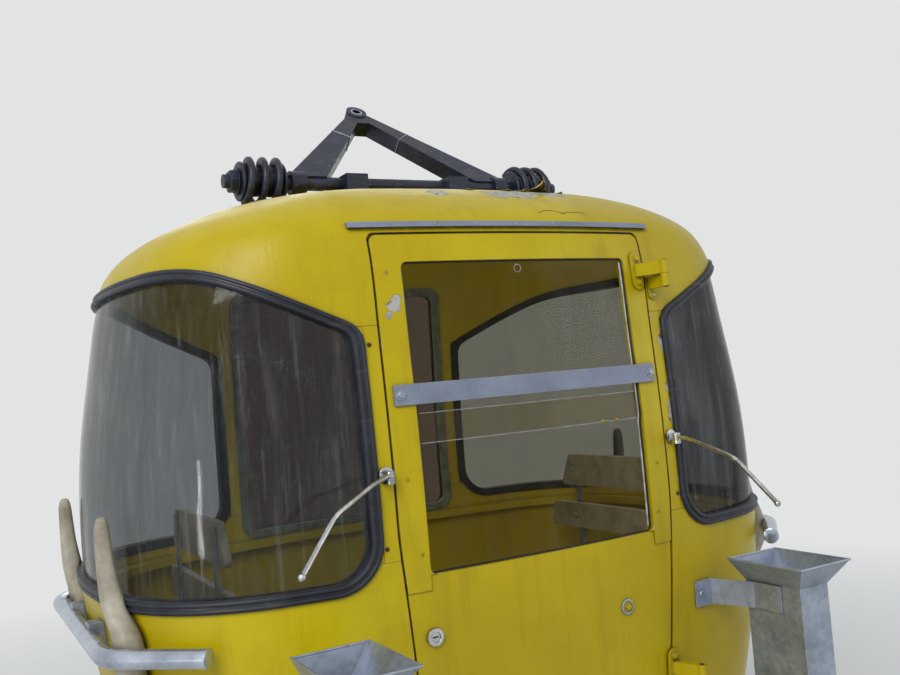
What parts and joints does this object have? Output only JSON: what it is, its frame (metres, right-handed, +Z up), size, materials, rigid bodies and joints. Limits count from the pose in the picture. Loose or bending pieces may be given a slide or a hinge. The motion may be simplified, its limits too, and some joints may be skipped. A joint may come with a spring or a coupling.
{
  "type": "cable car cabin",
  "caption": "Egg-shaped cable car cabin with wrap-round end windows, a hinged glazed door, slatted benches, outside ski boxes, end bumpers and a tilting roof hanger yoke.",
  "frame": {"origin": "centre of the hanger yoke's eye", "axes": "+X along the cabin to the right as seen from the door, +Y away from the door side, +Z up"},
  "size_m": [1.808, 1.4311, 2.0108],
  "materials": {
    "yellow_paint": "brushed-on enamel, chipped and flaking",
    "smoked_pane": "weathered acrylic sheet, scratched",
    "clear_pane": "clear acrylic sheet, scratched",
    "window_rubber": "black window rubber, worn",
    "grey_frame": "dull grey",
    "flat_steel": "dull mill finish",
    "galvanised": "galvanised, dull spangle",
    "chrome_plate": "chrome, scratched",
    "horn_plastic": "weathered beige",
    "seat_slat": "grey-brown, satin",
    "seat_strip": "grey paint",
    "floor_plate": "worn tread plate",
    "underframe_paint": "dark paint, rusted",
    "navy_paint": "navy black paint, chipped"
  },
  "bodies": {
    "cabin": {"roof_shell": "yellow_paint", "lower_shell": "yellow_paint", "wall_posts": "yellow_paint", "hinge_brackets": "yellow_paint", "belt_ledge": "yellow_paint", "end_window_left": "smoked_pane", "end_window_right": "smoked_pane", "far_window_pane": "clear_pane", "window_gasket_left": "window_rubber", "window_gasket_right": "window_rubber", "far_window_frame": "grey_frame", "drip_rail": "flat_steel", "ski_box_left": "galvanised", "ski_box_right": "galvanised", "ski_box_brackets": "galvanised", "bumper_tube_left": "galvanised", "bumper_tube_right": "galvanised", "bumper_stays_left": "galvanised", "bumper_stays_right": "galvanised", "arm_bosses": "chrome_plate", "fender_horns_left": "horn_plastic", "fender_horns_right": "horn_plastic", "seat_back_left": "seat_slat", "seat_back_right": "seat_slat", "seat_bench_left": "seat_slat", "seat_bench_right": "seat_slat", "seat_frame_left": "seat_strip", "seat_frame_right": "seat_strip", "floor_deck": "floor_plate", "underframe": "underframe_paint", "roof_shaft": "navy_paint", "shaft_saddles": "navy_paint", "coil_set_left": "navy_paint", "coil_set_right": "navy_paint"},
    "door": {"door_frame": "yellow_paint", "door_skin": "yellow_paint", "door_cover": "yellow_paint", "door_hinge_straps": "yellow_paint", "door_pane_upper": "clear_pane", "door_pane_lower": "clear_pane", "door_bar": "flat_steel", "door_lock": "chrome_plate"},
    "yoke": {"hanger_yoke": "navy_paint"},
    "arm_left": {"ski_arm_left": "chrome_plate"},
    "arm_right": {"ski_arm_right": "chrome_plate"}
  },
  "joints": [
    {"name": "door_swing", "type": "hinge", "parent": "cabin", "child": "door", "pos_m": [0.353, -0.873, -1.057], "axis": [0, 0, 1], "range_deg": [0, 90]},
    {"name": "yoke_lean", "type": "hinge", "parent": "cabin", "child": "yoke", "pos_m": [0, -0.273, -0.257], "axis": [1, 0, 0], "range_deg": [0, 90]},
    {"name": "arm_right_swing", "type": "hinge", "parent": "cabin", "child": "arm_right", "pos_m": [0.37, -0.841, -0.961], "axis": [0, 0, 1], "range_deg": [0, 60]},
    {"name": "arm_left_swing", "type": "hinge", "parent": "cabin", "child": "arm_left", "pos_m": [-0.37, -0.841, -0.961], "axis": [0, 0, 1], "range_deg": [0, 60]}
  ]
}
